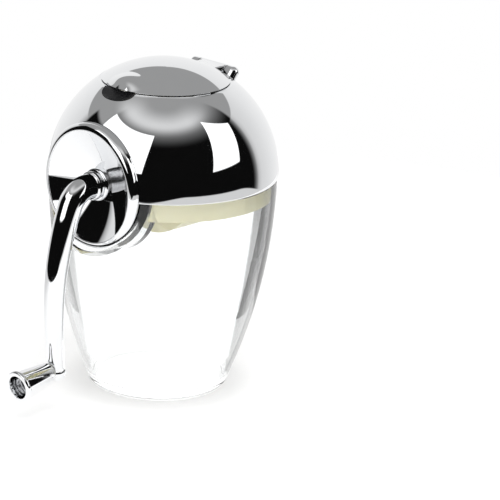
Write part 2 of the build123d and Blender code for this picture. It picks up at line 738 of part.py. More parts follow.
def lid_shell():
    ball = dome_centre * Sphere(dome_radius)
    hollow = dome_centre * Sphere(dome_radius - lid_wall)
    above = Pos(0, 0, lid_height) * Cylinder(dome_radius, dome_radius, align=low)
    tilt = degrees(asin(tab_reach / dome_radius))
    surface = seam_height + sqrt(dome_radius**2 - tab_reach**2)
    tab = Pos(0, -tab_reach, surface) * Rot(tilt, 0, 0) * ellipsoid(tab_half_width, tab_depth, tab_rise)
    cap = (ball + tab - hollow) & above
    barrel = x_rod(barrel_radius, -knuckle_half, knuckle_half, hinge_reach, hinge_height)
    top = hinge_height + barrel_radius
    bridge = block((-knuckle_half, knuckle_half), (bridge_start, hinge_reach), (lid_height, top))
    bridge = fillet(bridge.edges().filter_by(Axis.Y).sort_by(Axis.Z)[-2:], bridge_round)
    cap = cap + (bridge - hollow) + barrel
    for x, y in liner_screw_places():
        boss = Pos(x, y, lid_height) * Cylinder(screw_boss_radius, dome_radius, align=low)
        cap = cap + (boss & ball)
        cap = cap - Pos(x, y, lid_height) * Cylinder(screw_radius, liner_screw_depth, align=low)
    return cap - x_rod(hinge_pin_radius + running_fit, -dome_radius, dome_radius, hinge_reach, hinge_height)


def lid_liner():
    start = Pos(0, 0, lid_height - liner_drop)
    body = start * Cylinder(liner_radius, liner_drop, align=low)
    body = body - start * Cylinder(liner_radius - liner_thickness, liner_drop - liner_thickness, align=low)
    for x, y in liner_screw_places():
        hole = Cylinder(screw_radius + running_fit, 2 * liner_drop, align=low)
        body = body - Pos(x, y, lid_height - liner_drop) * hole
    return body


def lid_screws():
    length = liner_thickness + liner_screw_depth - 1
    group = [Pos(x, y, lid_height - liner_thickness) * screw(length) for x, y in liner_screw_places()]
    return Compound(children=group)


def hinge_pin():
    half = ear_outer - hinge_pin_margin
    return x_rod(hinge_pin_radius, -half, half, hinge_reach, hinge_height)


def export_node(name, shape):
    shape.label = name
    export_step(shape, f"parts/{name}.step")


os.makedirs("parts", exist_ok=True)
export_node("container", container())
export_node("dome_housing", dome_housing())
export_node("crank_dish", crank_dish())
export_node("dish_screws", dish_screws())
export_node("hopper", hopper())
export_node("hopper_screws", hopper_screws())
export_node("trough", trough())
export_node("trough_screws", trough_screws())
export_node("comb_left", comb(-1))
export_node("comb_right", comb(1))
export_node("comb_screws", comb_screws())
export_node("front_bush", front_bush())
export_node("rear_bush", rear_bush())
export_node("rotor_shaft", rotor_shaft())
for number in range(disc_count):
    export_node(f"rotor_disc_{number + 1}", rotor_disc(number))
for number in range(disc_count + 1):
    export_node(f"spacer_{number + 1}", spacer(number))
export_node("thrust_washer", thrust_washer())
export_node("retaining_clip", retaining_clip())
export_node("crank_hub", crank_hub())
export_node("hub_screw", hub_screw())
export_node("crank_arm", crank_arm())
export_node("knob_sleeve", knob_sleeve())
export_node("knob_pin", knob_pin())
export_node("knob_washer", knob_washer_ring())
export_node("lid_shell", lid_shell())
export_node("lid_liner", lid_liner())
export_node("lid_screws", lid_screws())
export_node("hinge_pin", hinge_pin())
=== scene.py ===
import bpy
import json
from math import sin, cos, radians, degrees, sqrt, pi, asin, atan2
from mathutils import Matrix, Vector


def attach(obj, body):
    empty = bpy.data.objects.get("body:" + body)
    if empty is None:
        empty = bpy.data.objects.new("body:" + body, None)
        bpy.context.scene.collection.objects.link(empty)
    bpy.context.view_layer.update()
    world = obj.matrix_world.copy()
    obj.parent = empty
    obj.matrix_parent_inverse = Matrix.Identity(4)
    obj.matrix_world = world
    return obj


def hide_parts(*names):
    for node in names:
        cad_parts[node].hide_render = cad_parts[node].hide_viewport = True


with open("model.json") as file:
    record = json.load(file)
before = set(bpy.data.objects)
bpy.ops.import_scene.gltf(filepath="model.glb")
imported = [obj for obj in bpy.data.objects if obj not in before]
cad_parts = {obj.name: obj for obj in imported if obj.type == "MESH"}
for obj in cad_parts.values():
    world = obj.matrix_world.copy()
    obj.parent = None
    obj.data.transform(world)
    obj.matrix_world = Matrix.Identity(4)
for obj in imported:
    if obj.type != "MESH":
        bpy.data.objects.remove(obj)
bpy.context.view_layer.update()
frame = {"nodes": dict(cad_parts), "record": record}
nodes = frame["nodes"]
mm = 0.001
print("frame loaded")

# Body, in millimetres. The origin is the centre of the foot, the crank points to -Y.
body = {
    "domeRadius": 75.0, "seamHeight": 143.5, "domeWall": 2.5,
    "lidHeight": 205.3, "lidGap": 0.4, "lidWall": 2.3,
    "crankHeight": 146.1, "dishRadius": 40.8,
}


def deselectAll():
    if bpy.context.object and bpy.context.object.mode != "OBJECT":
        bpy.ops.object.mode_set(mode="OBJECT")
    bpy.ops.object.select_all(action="DESELECT")


def pick(piece):
    deselectAll()
    piece.select_set(True)
    bpy.context.view_layer.objects.active = piece


def applyPlace(piece):
    pick(piece)
    bpy.ops.object.transform_apply(location=True, rotation=True, scale=True)


def applyModifier(piece, kind, **settings):
    pick(piece)
    step = piece.modifiers.new(kind, kind)
    for key, value in settings.items():
        setattr(step, key, value)
    bpy.ops.object.modifier_apply(modifier=step.name)


def combine(piece, other, operation, slots="INDEX"):
    # boolean with another closed mesh, which is used up
    applyModifier(piece, "BOOLEAN", operation=operation, object=other, solver="EXACT", material_mode=slots)
    bpy.data.objects.remove(other)
    return piece


def cleanNormals(piece):
    pick(piece)
    bpy.ops.object.mode_set(mode="EDIT")
    bpy.ops.mesh.select_all(action="SELECT")
    bpy.ops.mesh.remove_doubles(threshold=0.000004)
    bpy.ops.mesh.normals_make_consistent(inside=False)
    bpy.ops.object.mode_set(mode="OBJECT")


def smooth(piece, angle=28):
    pick(piece)
    bpy.ops.object.shade_smooth_by_angle(angle=radians(angle))
    return piece


def arc(centreR, centreH, radius, start, end, count):
    # points of (radius, height) along an arc, angles from the radius direction
    steps = [start + (end - start) * i / count for i in range(count + 1)]
    return [(centreR + radius * cos(radians(a)), centreH + radius * sin(radians(a))) for a in steps]


def softened(corners, count=5):
    # closed outline whose corners (radius, height, roundness) are rounded off
    points = []
    total = len(corners)
    for i, (r, h, roundness) in enumerate(corners):
        if roundness <= 0:
            points.append((r, h))
            continue
        here = Vector((r, h))
        before = Vector(corners[i - 1][:2]) - here
        after = Vector(corners[(i + 1) % total][:2]) - here
        cut = min(roundness, before.length * 0.49, after.length * 0.49)
        a = here + before.normalized() * cut
        b = here + after.normalized() * cut
        for k in range(count + 1):
            t = k / count
            p = a * (1 - t) ** 2 + here * 2 * t * (1 - t) + b * t ** 2
            points.append((p.x, p.y))
    return points


def turned(name, outline, place=(0, 0, 0), tilt=0.0, steps=192):
    # a closed outline of (radius, height) points drawn by extruding a vertex, then spun
    deselectAll()
    bpy.ops.mesh.primitive_plane_add(size=0.01, location=(0, 0, 0))
    piece = bpy.context.object
    piece.name = name
    bpy.ops.object.mode_set(mode="EDIT")
    bpy.ops.mesh.select_all(action="SELECT")
    bpy.ops.mesh.merge(type="CENTER")
    points = [Vector((max(r, 0) * mm, 0, h * mm)) for r, h in outline]
    bpy.ops.transform.translate(value=points[0])
    for a, b in zip(points, points[1:] + points[:1]):
        bpy.ops.mesh.extrude_region_move(TRANSFORM_OT_translate={"value": b - a})
    bpy.ops.mesh.select_all(action="SELECT")
    bpy.ops.mesh.spin(steps=steps, angle=2 * pi, center=(0, 0, 0), axis=(0, 0, 1))
    bpy.ops.mesh.select_all(action="SELECT")
    bpy.ops.mesh.remove_doubles(threshold=0.000002)
    bpy.ops.mesh.dissolve_degenerate(threshold=0.000001)
    bpy.ops.mesh.select_all(action="SELECT")
    bpy.ops.mesh.normals_make_consistent(inside=False)
    bpy.ops.object.mode_set(mode="OBJECT")
    piece.rotation_euler = (radians(tilt), 0, 0)
    piece.location = Vector(place) * mm
    applyPlace(piece)
    return piece


def onCrank(name, outline, steps=192):
    # turned on the crank's axis: heights are distances from the body's axis
    return turned(name, outline, (0, 0, body["crankHeight"]), 90, steps)


def bar(name, radius, start, end, vertices=96):
    # round bar between two points in millimetres
    a, b = Vector(start) * mm, Vector(end) * mm
    deselectAll()
    turn = (b - a).to_track_quat("Z", "Y").to_euler()
    bpy.ops.mesh.primitive_cylinder_add(
        vertices=vertices, radius=radius * mm, depth=(b - a).length, location=(a + b) / 2, rotation=turn)
    piece = bpy.context.object
    piece.name = name
    applyPlace(piece)
    return piece


def ball(name, radius, centre, segments=96):
    deselectAll()
    bpy.ops.mesh.primitive_uv_sphere_add(
        segments=segments, ring_count=segments // 2, radius=radius * mm, location=Vector(centre) * mm)
    piece = bpy.context.object
    piece.name = name
    applyPlace(piece)
    return piece


def brick(name, low, high, roundness=0.0, segments=4):
    a, b = Vector(low) * mm, Vector(high) * mm
    deselectAll()
    bpy.ops.mesh.primitive_cube_add(size=1, location=(a + b) / 2)
    piece = bpy.context.object
    piece.name = name
    piece.scale = b - a
    applyPlace(piece)
    if roundness:
        bpy.ops.object.mode_set(mode="EDIT")
        bpy.ops.mesh.select_all(action="SELECT")
        bpy.ops.mesh.bevel(offset=roundness * mm, segments=segments, affect="EDGES")
        bpy.ops.object.mode_set(mode="OBJECT")
    return piece


def sphereZone(radius, lowHeight, highHeight, count):
    # outline along the dome's sphere between two heights above the table
    low = degrees(asin((lowHeight - body["seamHeight"]) / radius))
    high = degrees(asin((highHeight - body["seamHeight"]) / radius))
    return arc(0, body["seamHeight"], radius, low, high, count)


# Camera at the photograph's viewpoint
camera = {
    "place": (1.2508, -1.2729, 0.6788),
    "looks": (-0.6433, 0.6989, -0.3126),
    "roll": 0.0387,
    "lens": 206.3,
}


def makeCamera():
    data = bpy.data.cameras.new("camera")
    data.lens = camera["lens"]
    data.sensor_width = 36
    data.clip_end = 50
    item = bpy.data.objects.new("camera", data)
    bpy.context.scene.collection.objects.link(item)
    ahead = Vector(camera["looks"]).normalized()
    side = ahead.cross(Vector((0, 0, 1))).normalized()
    up = side.cross(ahead)
    c, s = cos(camera["roll"]), sin(camera["roll"])
    side, up = side * c + up * s, up * c - side * s
    turn = Matrix((side, up, -ahead)).transposed().to_4x4()
    item.matrix_world = Matrix.Translation(Vector(camera["place"])) @ turn
    bpy.context.scene.camera = item


makeCamera()


class Link:
    # wraps a socket, so that shader maths reads as plain expressions
    def __init__(self, tree, socket):
        self.tree = tree
        self.socket = socket

    def maths(self, operation, *others):
        item = self.tree.nodes.new("ShaderNodeMath")
        item.operation = operation
        for i, value in enumerate((self,) + others):
            feed(self.tree, item.inputs[i], value)
        return Link(self.tree, item.outputs[0])

    def __add__(self, other): return self.maths("ADD", other)
    def __radd__(self, other): return self.maths("ADD", other)
    def __mul__(self, other): return self.maths("MULTIPLY", other)
    def __rmul__(self, other): return self.maths("MULTIPLY", other)
    def __sub__(self, other): return self.maths("SUBTRACT", other)
    def __rsub__(self, other): return (self * -1.0).maths("ADD", other)
    def __truediv__(self, other): return self.maths("DIVIDE", other)

    def top(self, other): return self.maths("MAXIMUM", other)
    def least(self, other): return self.maths("MINIMUM", other)

    def ramp(self, low, high, start=0.0, end=1.0):
        # smooth rise from start to end while this goes from low to high
        item = self.tree.nodes.new("ShaderNodeMapRange")
        item.interpolation_type = "SMOOTHSTEP"
        feed(self.tree, item.inputs["Value"], self)
        for key, value in (("From Min", low), ("From Max", high), ("To Min", start), ("To Max", end)):
            item.inputs[key].default_value = value
        return Link(self.tree, item.outputs[0])

    def fade(self, low, high):
        return self.ramp(low, high, 1.0, 0.0)

    def between(self, low, high, soft):
        return self.ramp(low - soft, low + soft) * self.fade(high - soft, high + soft)

    def over(self, share, level):
        # this value with a share of another laid over it
        return self * (1 - share) + share * level


def feed(tree, socket, value):
    if isinstance(value, Link):
        tree.links.new(value.socket, socket)
    else:
        socket.default_value = value


def addNode(tree, kind, settings=None, out=0, **values):
    item = tree.nodes.new(kind)
    for key, value in (settings or {}).items():
        setattr(item, key, value)
    for key, value in values.items():
        feed(tree, item.inputs[key.replace("_", " ")], value)
    return Link(tree, item.outputs[out])


def mixColour(tree, factor, first, second):
    item = tree.nodes.new("ShaderNodeMix")
    item.data_type = "RGBA"
    feed(tree, item.inputs[0], factor)
    feed(tree, item.inputs[6], first)
    feed(tree, item.inputs[7], second)
    return Link(tree, item.outputs[2])


def splitVector(tree, socket):
    split = tree.nodes.new("ShaderNodeSeparateXYZ")
    tree.links.new(socket, split.inputs[0])
    return [Link(tree, out) for out in split.outputs]


def newMaterial(name):
    material = bpy.data.materials.new(name)
    material.use_nodes = True
    tree = material.node_tree
    tree.nodes.clear()
    shader = tree.nodes.new("ShaderNodeBsdfPrincipled")
    output = tree.nodes.new("ShaderNodeOutputMaterial")
    tree.links.new(shader.outputs[0], output.inputs[0])
    return material, tree, shader


def grey(value, alpha=1.0):
    return (value, value, value, alpha)


# Surroundings. Directions are in degrees: bearing from the camera's own, positive to the picture's
# right, and rise above the horizon. Each direction's entry is (low, high, softness) or (start, end).
studio = {
    "cameraBearing": -45.5,
    "ceiling": 0.36, "black": 0.004, "fill": 0.62,
    "glow": {"level": 0.82, "starts": (48, 60), "ends": (58, 80), "bearing": (-100, 75, 32)},
    "front": {"bearing": (-114, 108, 2), "fades": (38, 64), "greyBearing": (-94, -86), "greyRise": (34, 38)},
    "sweep": {
        "level": 0.74, "depth": 0.22, "depthRange": (0.2, 1.0), "top": 36.5, "lower": 10.0,
        "lowerBearing": (-165, -100, 20), "right": (100, 116), "left": (-124, -112), "soft": 0.6,
    },
    "box": {"level": 1.6, "soft": 0.8},
    "leftBox": {"edge": -24.5, "slant": 0.19, "far": (-91.5, -89.5), "rise": (12, 50.5, 0.6),
                "cardBearing": (-66, -62), "cardRise": (34, 36)},
    "rightBox": {"inner": 47.5, "innerSlant": 0.33, "outer": 78.8, "outerSlant": 0.52,
                 "foot": (10.2, 11.4), "corner": (66, 56), "fall": 0.56, "soft": 0.6},
    "tableLine": {"rise": -15.5, "right": (5, 100, 20), "rightLift": 6.0, "left": (-42, -18),
                  "leftLift": 2.5, "soft": 0.5},
}
lamps = {
    "size": (1.2, 0.9),
    "softLamp": {"power": 9.0, "place": (0.5, -0.3, 1.5), "aim": (0, 0, 0.1)},
    "frontLamp": {"power": 7.0, "place": (0.75, -1.0, 0.25), "aim": (0, 0, 0.13)},
}


def makeLamp(name):
    data = bpy.data.lights.new(name, "AREA")
    data.shape = "RECTANGLE"
    data.size, data.size_y = lamps["size"]
    data.energy = lamps[name]["power"]
    lamp = bpy.data.objects.new(name, data)
    bpy.context.scene.collection.objects.link(lamp)
    lamp.location = lamps[name]["place"]
    lamp.rotation_euler = (Vector(lamps[name]["aim"]) - lamp.location).to_track_quat("-Z", "Y").to_euler()
    lamp.visible_glossy = False
    lamp.visible_transmission = False


def skyPattern(x, bearing, rise):
    # grey ceiling that brightens towards its front edge, above the black front
    glow, front, sweep = studio["glow"], studio["front"], studio["sweep"]
    bright = rise.ramp(*glow["starts"]) * rise.fade(*glow["ends"]) * bearing.between(*glow["bearing"])
    sky = bright * (glow["level"] - studio["ceiling"]) + studio["ceiling"]
    dark = bearing.between(*front["bearing"]) * rise.fade(*front["fades"])
    dark = dark * (1 - bearing.fade(*front["greyBearing"]) * rise.ramp(*front["greyRise"]))
    sky = sky.over(dark, studio["black"])
    # white sweep behind the object, with its top edge lower on the left
    sweepTop = bearing.between(*sweep["lowerBearing"]) * -sweep["lower"] + sweep["top"]
    behind = (bearing.ramp(*sweep["right"]) + bearing.fade(*sweep["left"])).least(1.0)
    behind = behind * (rise - sweepTop).fade(-sweep["soft"], sweep["soft"])
    depth = (x * -1.0).ramp(*sweep["depthRange"])
    sky = sky.over(behind, depth * sweep["depth"] + sweep["level"])
    # two large soft boxes, the left one partly behind a black card
    box, left, right = studio["box"], studio["leftBox"], studio["rightBox"]
    leftEdge = bearing - rise * left["slant"] - left["edge"]
    leftCard = bearing.fade(*left["cardBearing"]) * rise.fade(*left["cardRise"])
    leftBox = leftEdge.fade(0, box["soft"]) * bearing.ramp(*left["far"]) * rise.between(*left["rise"])
    rightIn = bearing - rise * right["innerSlant"] - right["inner"]
    rightOut = bearing - rise * right["outerSlant"] - right["outer"]
    rightTop = rise + (bearing - right["corner"][0]) * right["fall"] - right["corner"][1]
    rightBox = rightIn.ramp(0, box["soft"]) * rightOut.fade(0, box["soft"]) * rise.ramp(*right["foot"])
    rightBox = rightBox * rightTop.fade(-right["soft"], right["soft"])
    sky = sky.over(leftBox * (1 - leftCard), box["level"]).over(rightBox, box["level"])
    # far edge of the pale table, higher at both sides
    line = studio["tableLine"]
    tableTop = bearing.between(*line["right"]) * line["rightLift"]
    tableTop = tableTop + bearing.fade(*line["left"]) * line["leftLift"] + line["rise"]
    return sky.over((rise - tableTop).fade(-line["soft"], line["soft"]), sweep["level"])


def makeSurroundings():
    world = bpy.data.worlds.new("studio")
    bpy.context.scene.world = world
    world.use_nodes = True
    tree = world.node_tree
    tree.nodes.clear()
    coords = tree.nodes.new("ShaderNodeTexCoord")
    turn = tree.nodes.new("ShaderNodeMapping")
    turn.inputs["Rotation"].default_value = (0, 0, radians(-studio["cameraBearing"]))
    tree.links.new(coords.outputs["Generated"], turn.inputs["Vector"])
    x, y, z = splitVector(tree, turn.outputs[0])
    bearing = y.maths("ARCTAN2", x) * degrees(1)
    rise = z.least(0.9999).top(-0.9999).maths("ARCSINE") * degrees(1)
    path = tree.nodes.new("ShaderNodeLightPath")
    seen = Link(tree, path.outputs["Is Glossy Ray"]).top(Link(tree, path.outputs["Is Transmission Ray"]))
    level = seen * skyPattern(x, bearing, rise) + (1 - seen) * studio["fill"]
    level = level.over(Link(tree, path.outputs["Is Camera Ray"]), 1.0)
    shade = tree.nodes.new("ShaderNodeBackground")
    colour = addNode(tree, "ShaderNodeCombineColor", None, 0, Red=level, Green=level, Blue=level)
    tree.links.new(colour.socket, shade.inputs[0])
    output = tree.nodes.new("ShaderNodeOutputWorld")
    tree.links.new(shade.outputs[0], output.inputs[0])


# Table, in metres: a pale disc with a soft painted contact shadow, and painted shade that only mirrors or
# the clear wall show
table = {
    "edge": 0.56, "colour": grey(0.82), "shadowColour": grey(0.02), "roughness": 0.6, "lift": 0.42,
    "paintedShadowStrength": 0.16, "paintedShadowRange": (0.044, 0.074),
    "sideStart": 0.050, "sideSlope": 0.125, "sideSoft": 0.006, "rightSide": 0.95, "leftSide": 0.6,
    "sideAhead": (-0.03, -0.01), "mirrorFar": (0.08, 0.34), "mirrorDrop": 0.36,
}
# Cards close behind the container, seen only through its clear wall, laying a painted dark refraction and a
# grey painted glow on its edges: distance beside the axis, lean in degrees, brightness
cards = {
    "sides": {"right": (0.068, 10.5, 0.0), "left": (-0.072, -10.5, 0.3)},
    "behind": 0.11, "width": 0.5, "tall": 0.24, "middle": 0.06, "margin": 0.014,
}


def makeFloor():
    deselectAll()
    bpy.ops.mesh.primitive_circle_add(vertices=96, radius=table["edge"], fill_type="NGON")
    disc = bpy.context.object
    disc.name = "tableTop"
    material, tree, shader = newMaterial("tableTop")
    shader.inputs["Roughness"].default_value = table["roughness"]
    path = tree.nodes.new("ShaderNodeLightPath")
    through = Link(tree, path.outputs["Is Transmission Ray"])
    mirrored = Link(tree, path.outputs["Is Glossy Ray"])
    coords = tree.nodes.new("ShaderNodeTexCoord")
    x, y, z = splitVector(tree, coords.outputs["Object"])
    # painted contact shadow: the table's colour and glow darken close to the container's foot
    near = (x * x + y * y).maths("SQRT").fade(*table["paintedShadowRange"]) * table["paintedShadowStrength"]
    # painted dark refraction: dark sides of the table, which only light through the container's clear wall
    # meets
    bearing = radians(studio["cameraBearing"])
    across = y * cos(bearing) - x * sin(bearing)
    ahead = x * -cos(bearing) - y * sin(bearing)
    edge = ahead * table["sideSlope"] + table["sideStart"]
    rightSide = (across - edge).ramp(0.0, table["sideSoft"]) * table["rightSide"]
    leftSide = (across + edge).fade(-table["sideSoft"], 0.0) * table["leftSide"]
    # the painted dark refraction joins the painted contact shadow in one mask
    near = near.top(through * (rightSide + leftSide) * ahead.ramp(*table["sideAhead"]))
    tint = mixColour(tree, near, table["colour"], table["shadowColour"])
    tree.links.new(tint.socket, shader.inputs["Base Color"])
    # painted reflection shade: the mirrored table grows darker behind the object on the left
    far = (x * -1.0).ramp(*table["mirrorFar"])
    seen = Link(tree, path.outputs["Is Camera Ray"]).top(through)
    # the glow seen by the camera and through the clear wall is dimmed by the painted shadow and the painted
    # dark sides
    lift = seen * table["lift"] * (1 - near) + mirrored * (table["lift"] - far * table["mirrorDrop"])
    glow = addNode(tree, "ShaderNodeCombineColor", None, 0, Red=lift, Green=lift, Blue=lift)
    tree.links.new(glow.socket, shader.inputs["Emission Color"])
    shader.inputs["Emission Strength"].default_value = 1.0
    disc.data.materials.append(material)


def makeCard(side):
    beside, lean, level = cards["sides"][side]
    bearing = radians(studio["cameraBearing"])
    ahead = Vector((-cos(bearing), -sin(bearing), 0))
    right = Vector((-sin(bearing), cos(bearing), 0))
    deselectAll()
    bpy.ops.mesh.primitive_plane_add(size=1)
    card = bpy.context.object
    card.name = side + "Card"
    card.scale = (cards["width"], cards["tall"], 1)
    card.rotation_euler = (radians(90), 0, 0)
    applyPlace(card)
    card.rotation_euler = (0, radians(lean), 0)
    applyPlace(card)
    card.rotation_euler = (0, 0, bearing + radians(90))
    outward = cards["width"] / 2 + cards["margin"]
    card.location = ahead * cards["behind"] + right * (beside + (outward if beside > 0 else -outward))
    card.location.z = cards["middle"]
    applyPlace(card)
    material, tree, shader = newMaterial(side + "Card")
    # black card with a painted glow of the given brightness, seen only through the clear wall
    shader.inputs["Base Color"].default_value = grey(0.0)
    shader.inputs["Specular IOR Level"].default_value = 0.0
    shader.inputs["Emission Color"].default_value = grey(1.0)
    shader.inputs["Emission Strength"].default_value = level
    card.data.materials.append(material)
    card.visible_camera = False
    card.visible_glossy = False
    card.visible_diffuse = False
    card.visible_shadow = False


makeSurroundings()
for name in ("softLamp", "frontLamp"):
    makeLamp(name)
makeFloor()
for side in cards["sides"]:
    makeCard(side)
bpy.context.scene.view_settings.view_transform = "Standard"
print("camera, floor and surroundings")

# Chrome: slightly wiped and scratched, with a faint ripple
chrome = {
    "colours": ((0.80, 0.81, 0.825, 1), (0.86, 0.865, 0.87, 1)), "roughness": 0.025,
    "wipeSize": 38.0, "wiped": (0.45, 0.75), "fineSize": 900.0, "fineShare": 0.01, "rippleSize": 55.0,
    "scratchSize": (900.0, 60.0, 300.0), "scratched": (0.62, 0.72), "scratchShare": 0.6,
}
# Plastics: cloudy in the large, fine grained close up
plastic = {
    "cloudSize": 18.0, "speckSize": 1400.0, "clouded": (0.3, 0.7), "cloudRough": 0.08, "speckRough": 0.06,
    "scatterReach": (0.004, 0.0035, 0.002), "grainDepth": 0.0001,
}
clear = {
    "colours": ((0.975, 0.98, 0.98, 1), (0.95, 0.957, 0.96, 1)), "bend": 1.49, "roughness": 0.012,
    "cloudSize": 26.0, "clouded": (0.5, 0.8), "cloudRough": 0.02,
    "scuffSize": 700.0, "scuffed": (0.6, 0.75), "scuffRough": 0.03, "wave": 0.05,
}
# Ground or turned metal: fine lines along the stretched direction
metal = {
    "cloudSize": 60.0, "grained": (0.3, 0.7), "grainRough": 0.15, "cloudRough": 0.1, "grainDepth": 0.0002,
}
# painted shade: near-black colour for the dome's and lid's hollow insides and the thumb scoop, where shade
# falls
recess = {
    "colours": ((0.006, 0.006, 0.007, 1), (0.014, 0.014, 0.015, 1)), "cloudSize": 240.0,
    "roughness": 0.3, "cloudRough": 0.1,
}


def noise(tree, place, size, detail, **more):
    return addNode(tree, "ShaderNodeTexNoise", None, 0, Vector=place, Scale=size, Detail=detail, **more)


def stretched(tree, place, scale, detail):
    moved = addNode(tree, "ShaderNodeMapping", None, 0, Vector=place, Scale=scale)
    return noise(tree, moved, 1.0, detail)


def objectPlace(tree):
    return addNode(tree, "ShaderNodeTexCoord", None, 3)


def wireShader(tree, shader, tint, rough, height=None, strength=1.0, distance=0.001):
    tree.links.new(tint.socket, shader.inputs["Base Color"])
    tree.links.new(rough.socket, shader.inputs["Roughness"])
    if height is not None:
        bump = tree.nodes.new("ShaderNodeBump")
        bump.inputs["Strength"].default_value = strength
        bump.inputs["Distance"].default_value = distance
        tree.links.new(height.socket, bump.inputs["Height"])
        tree.links.new(bump.outputs[0], shader.inputs["Normal"])


def chromeMaterial(name, ripple, haze):
    material, tree, shader = newMaterial(name)
    place = objectPlace(tree)
    wipe = noise(tree, place, chrome["wipeSize"], 6.0, Roughness=0.6)
    fine = noise(tree, place, chrome["fineSize"], 2.0)
    scratch = stretched(tree, place, chrome["scratchSize"], 3.0)
    wave = noise(tree, place, chrome["rippleSize"], 1.0)
    shader.inputs["Metallic"].default_value = 1.0
    rough = wipe.ramp(*chrome["wiped"]) * haze
    rough = rough + scratch.ramp(*chrome["scratched"]) * haze * chrome["scratchShare"] + chrome["roughness"]
    height = wave * ripple + fine * ripple * chrome["fineShare"]
    wireShader(tree, shader, mixColour(tree, wipe, *chrome["colours"]), rough, height)
    return material


def plasticMaterial(name, colour, deep, roughness, grain, scatter=0.0):
    material, tree, shader = newMaterial(name)
    place = objectPlace(tree)
    cloud = noise(tree, place, plastic["cloudSize"], 4.0)
    speck = noise(tree, place, plastic["speckSize"], 2.0)
    tint = mixColour(tree, cloud.ramp(*plastic["clouded"]), colour, deep)
    rough = cloud * plastic["cloudRough"] + speck * plastic["speckRough"] + roughness
    if scatter:
        shader.inputs["Subsurface Weight"].default_value = scatter
        shader.inputs["Subsurface Radius"].default_value = plastic["scatterReach"]
    wireShader(tree, shader, tint, rough, speck, grain, plastic["grainDepth"])
    return material


def clearMaterial(name):
    material, tree, shader = newMaterial(name)
    place = objectPlace(tree)
    cloud = noise(tree, place, clear["cloudSize"], 5.0)
    scuff = noise(tree, place, clear["scuffSize"], 3.0)
    shader.inputs["Transmission Weight"].default_value = 1.0
    shader.inputs["IOR"].default_value = clear["bend"]
    rough = cloud.ramp(*clear["clouded"]) * clear["cloudRough"]
    rough = rough + scuff.ramp(*clear["scuffed"]) * clear["scuffRough"] + clear["roughness"]
    wireShader(tree, shader, mixColour(tree, cloud, *clear["colours"]), rough, cloud, clear["wave"])
    return material


def metalMaterial(name, colour, dark, roughness, stretch, strength):
    material, tree, shader = newMaterial(name)
    place = objectPlace(tree)
    grain = stretched(tree, place, stretch, 4.0)
    cloud = noise(tree, place, metal["cloudSize"], 3.0)
    tint = mixColour(tree, grain.ramp(*metal["grained"]), colour, dark)
    shader.inputs["Metallic"].default_value = 1.0
    rough = grain * metal["grainRough"] + cloud * metal["cloudRough"] + roughness
    wireShader(tree, shader, tint, rough, grain, strength, metal["grainDepth"])
    return material


def paintedShadeMaterial():
    material, tree, shader = newMaterial("recessPaintedShade")
    cloud = noise(tree, objectPlace(tree), recess["cloudSize"], 4.0)
    rough = cloud * recess["cloudRough"] + recess["roughness"]
    wireShader(tree, shader, mixColour(tree, cloud, *recess["colours"]), rough)
    return material


# name: ripple, haze
chromes = {
    "chrome_dome": ("domeChrome", 0.010, 0.02), "chrome_lid": ("lidChrome", 0.010, 0.02),
    "chrome_dish": ("dishChrome", 0.015, 0.02), "chrome_crank": ("crankChrome", 0.04, 0.03),
    "chrome_knob": ("knobChrome", 0.05, 0.04),
}
# name: colour, deeper colour, roughness, grain, light scattered inside
plastics = {
    "ivory_plastic": ("ivoryPlastic", (0.93, 0.90, 0.64, 1), (0.89, 0.85, 0.57, 1), 0.34, 0.25, 0.15),
    # olive: the ivory made darker as painted shade, for the trough lying in shade below the collar
    "olive_plastic": ("ivoryPaintedShade", (0.84, 0.80, 0.54, 1), (0.78, 0.73, 0.47, 1), 0.36, 0.25, 0.1),
    "liner_plastic": ("linerPlastic", (0.82, 0.80, 0.70, 1), (0.78, 0.76, 0.66, 1), 0.4, 0.3, 0.1),
    "washer_plastic": ("washerPlastic", (0.76, 0.76, 0.73, 1), (0.72, 0.72, 0.69, 1), 0.4, 0.2),
}
# name: colour, darker colour, roughness, stretch of the lines, their depth
metals = {
    "blade_steel": ("bladeSteel", (0.66, 0.66, 0.66, 1), (0.52, 0.52, 0.53, 1), 0.22, (90, 90, 1500), 0.3),
    "comb_steel": ("combSteel", (0.62, 0.62, 0.63, 1), (0.48, 0.48, 0.49, 1), 0.26, (1200, 80, 1200), 0.3),
    "shaft_steel": ("shaftSteel", (0.68, 0.68, 0.69, 1), (0.55, 0.55, 0.56, 1), 0.16, (60, 2500, 60), 0.2),
    "clip_steel": ("clipSteel", (0.36, 0.35, 0.36, 1), (0.24, 0.24, 0.26, 1), 0.3, (300, 300, 300), 0.3),
    "screw_steel": ("screwSteel", (0.60, 0.60, 0.61, 1), (0.46, 0.46, 0.48, 1), 0.24, (600, 600, 600), 0.2),
    "bush_steel": ("bushSteel", (0.52, 0.52, 0.53, 1), (0.42, 0.42, 0.43, 1), 0.18, (60, 2200, 60), 0.2),
}
materials = {"clear_container": clearMaterial("clearPlastic")}
for kind, rows in ((chromeMaterial, chromes), (plasticMaterial, plastics), (metalMaterial, metals)):
    for slot, values in rows.items():
        materials[slot] = kind(*values)
recessPaintedShade = paintedShadeMaterial()
slotOf = {item["node"]: item["material_slot"] for item in frame["record"]["subparts"]}
print("materials")


def dress(piece, slot, bodyName, *replaced):
    if not piece.data.materials or piece.name.endswith(".fine"):
        piece.data.materials.clear()
        piece.data.materials.append(materials[slot])
    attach(piece, bodyName)
    if replaced:
        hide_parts(*replaced)
    return piece


bodyOf = {n: b for b, group in frame["record"]["behaviour"]["bodies"].items() for n in group}

